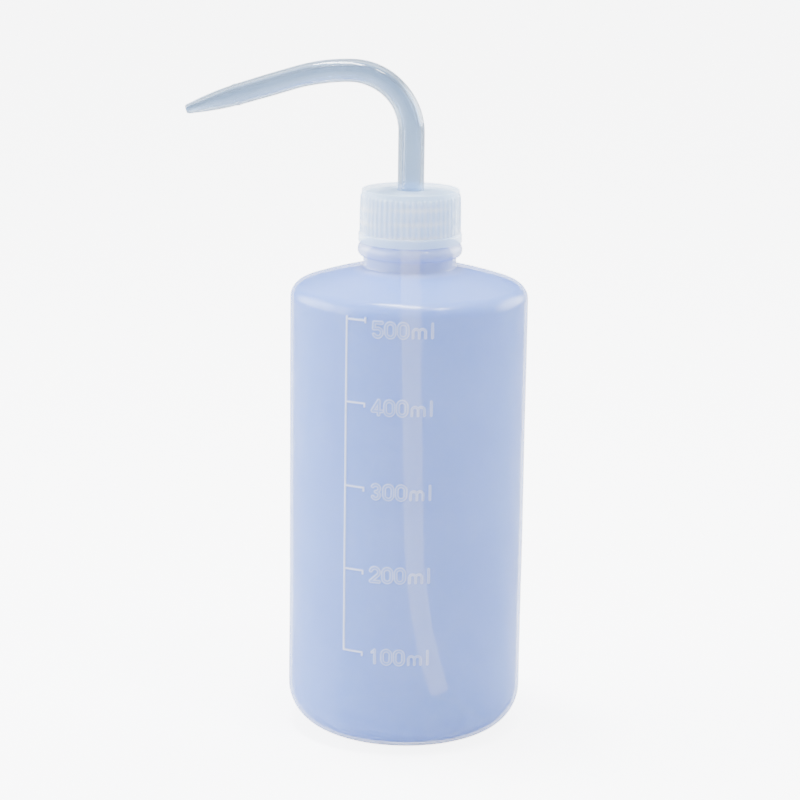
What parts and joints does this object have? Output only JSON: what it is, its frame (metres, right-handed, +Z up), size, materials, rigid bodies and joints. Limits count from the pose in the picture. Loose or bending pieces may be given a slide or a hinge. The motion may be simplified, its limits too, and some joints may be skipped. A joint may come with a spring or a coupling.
{
  "type": "squeeze wash bottle",
  "caption": "Squeeze wash bottle: round graduated bottle with a ribbed screw cap, a bent delivery spout ending in a fine nozzle, and a dip tube inside.",
  "frame": {"origin": "centre of the ring the bottle stands on, on the bottle's axis", "axes": "+Z up the bottle's axis, the spout points towards -X, the raised scale faces -Y"},
  "size_m": [0.1042, 0.0727, 0.207],
  "materials": {
    "bottle": "translucent satin polyethylene",
    "cap": "translucent satin polypropylene",
    "spout": "translucent smooth polyethylene",
    "dip_tube": "translucent smooth polyethylene",
    "washer": "soft foam-like polyethylene"
  },
  "bodies": {
    "bottle": {"bottle": "bottle"},
    "closure": {"washer": "washer"},
    "cap": {"cap": "cap"},
    "spout": {"spout": "spout", "dip_tube": "dip_tube"}
  },
  "joints": [
    {"name": "closure_lift", "type": "slide", "parent": "bottle", "child": "closure", "axis": [0, 0, 1], "range_m": [0, 0.00635]},
    {"name": "cap_turn", "type": "hinge", "parent": "closure", "child": "cap", "pos_m": [0, 0, 0.16], "axis": [0, 0, 1], "range_deg": [0, 541]},
    {"name": "spout_swivel", "type": "hinge", "parent": "closure", "child": "spout", "pos_m": [0, 0, 0.1663], "axis": [0, 0, 1], "continuous": true}
  ],
  "couplings": [
    {"joint": "cap_turn", "follows": "closure_lift", "rad_per_m": 1484.2}
  ]
}
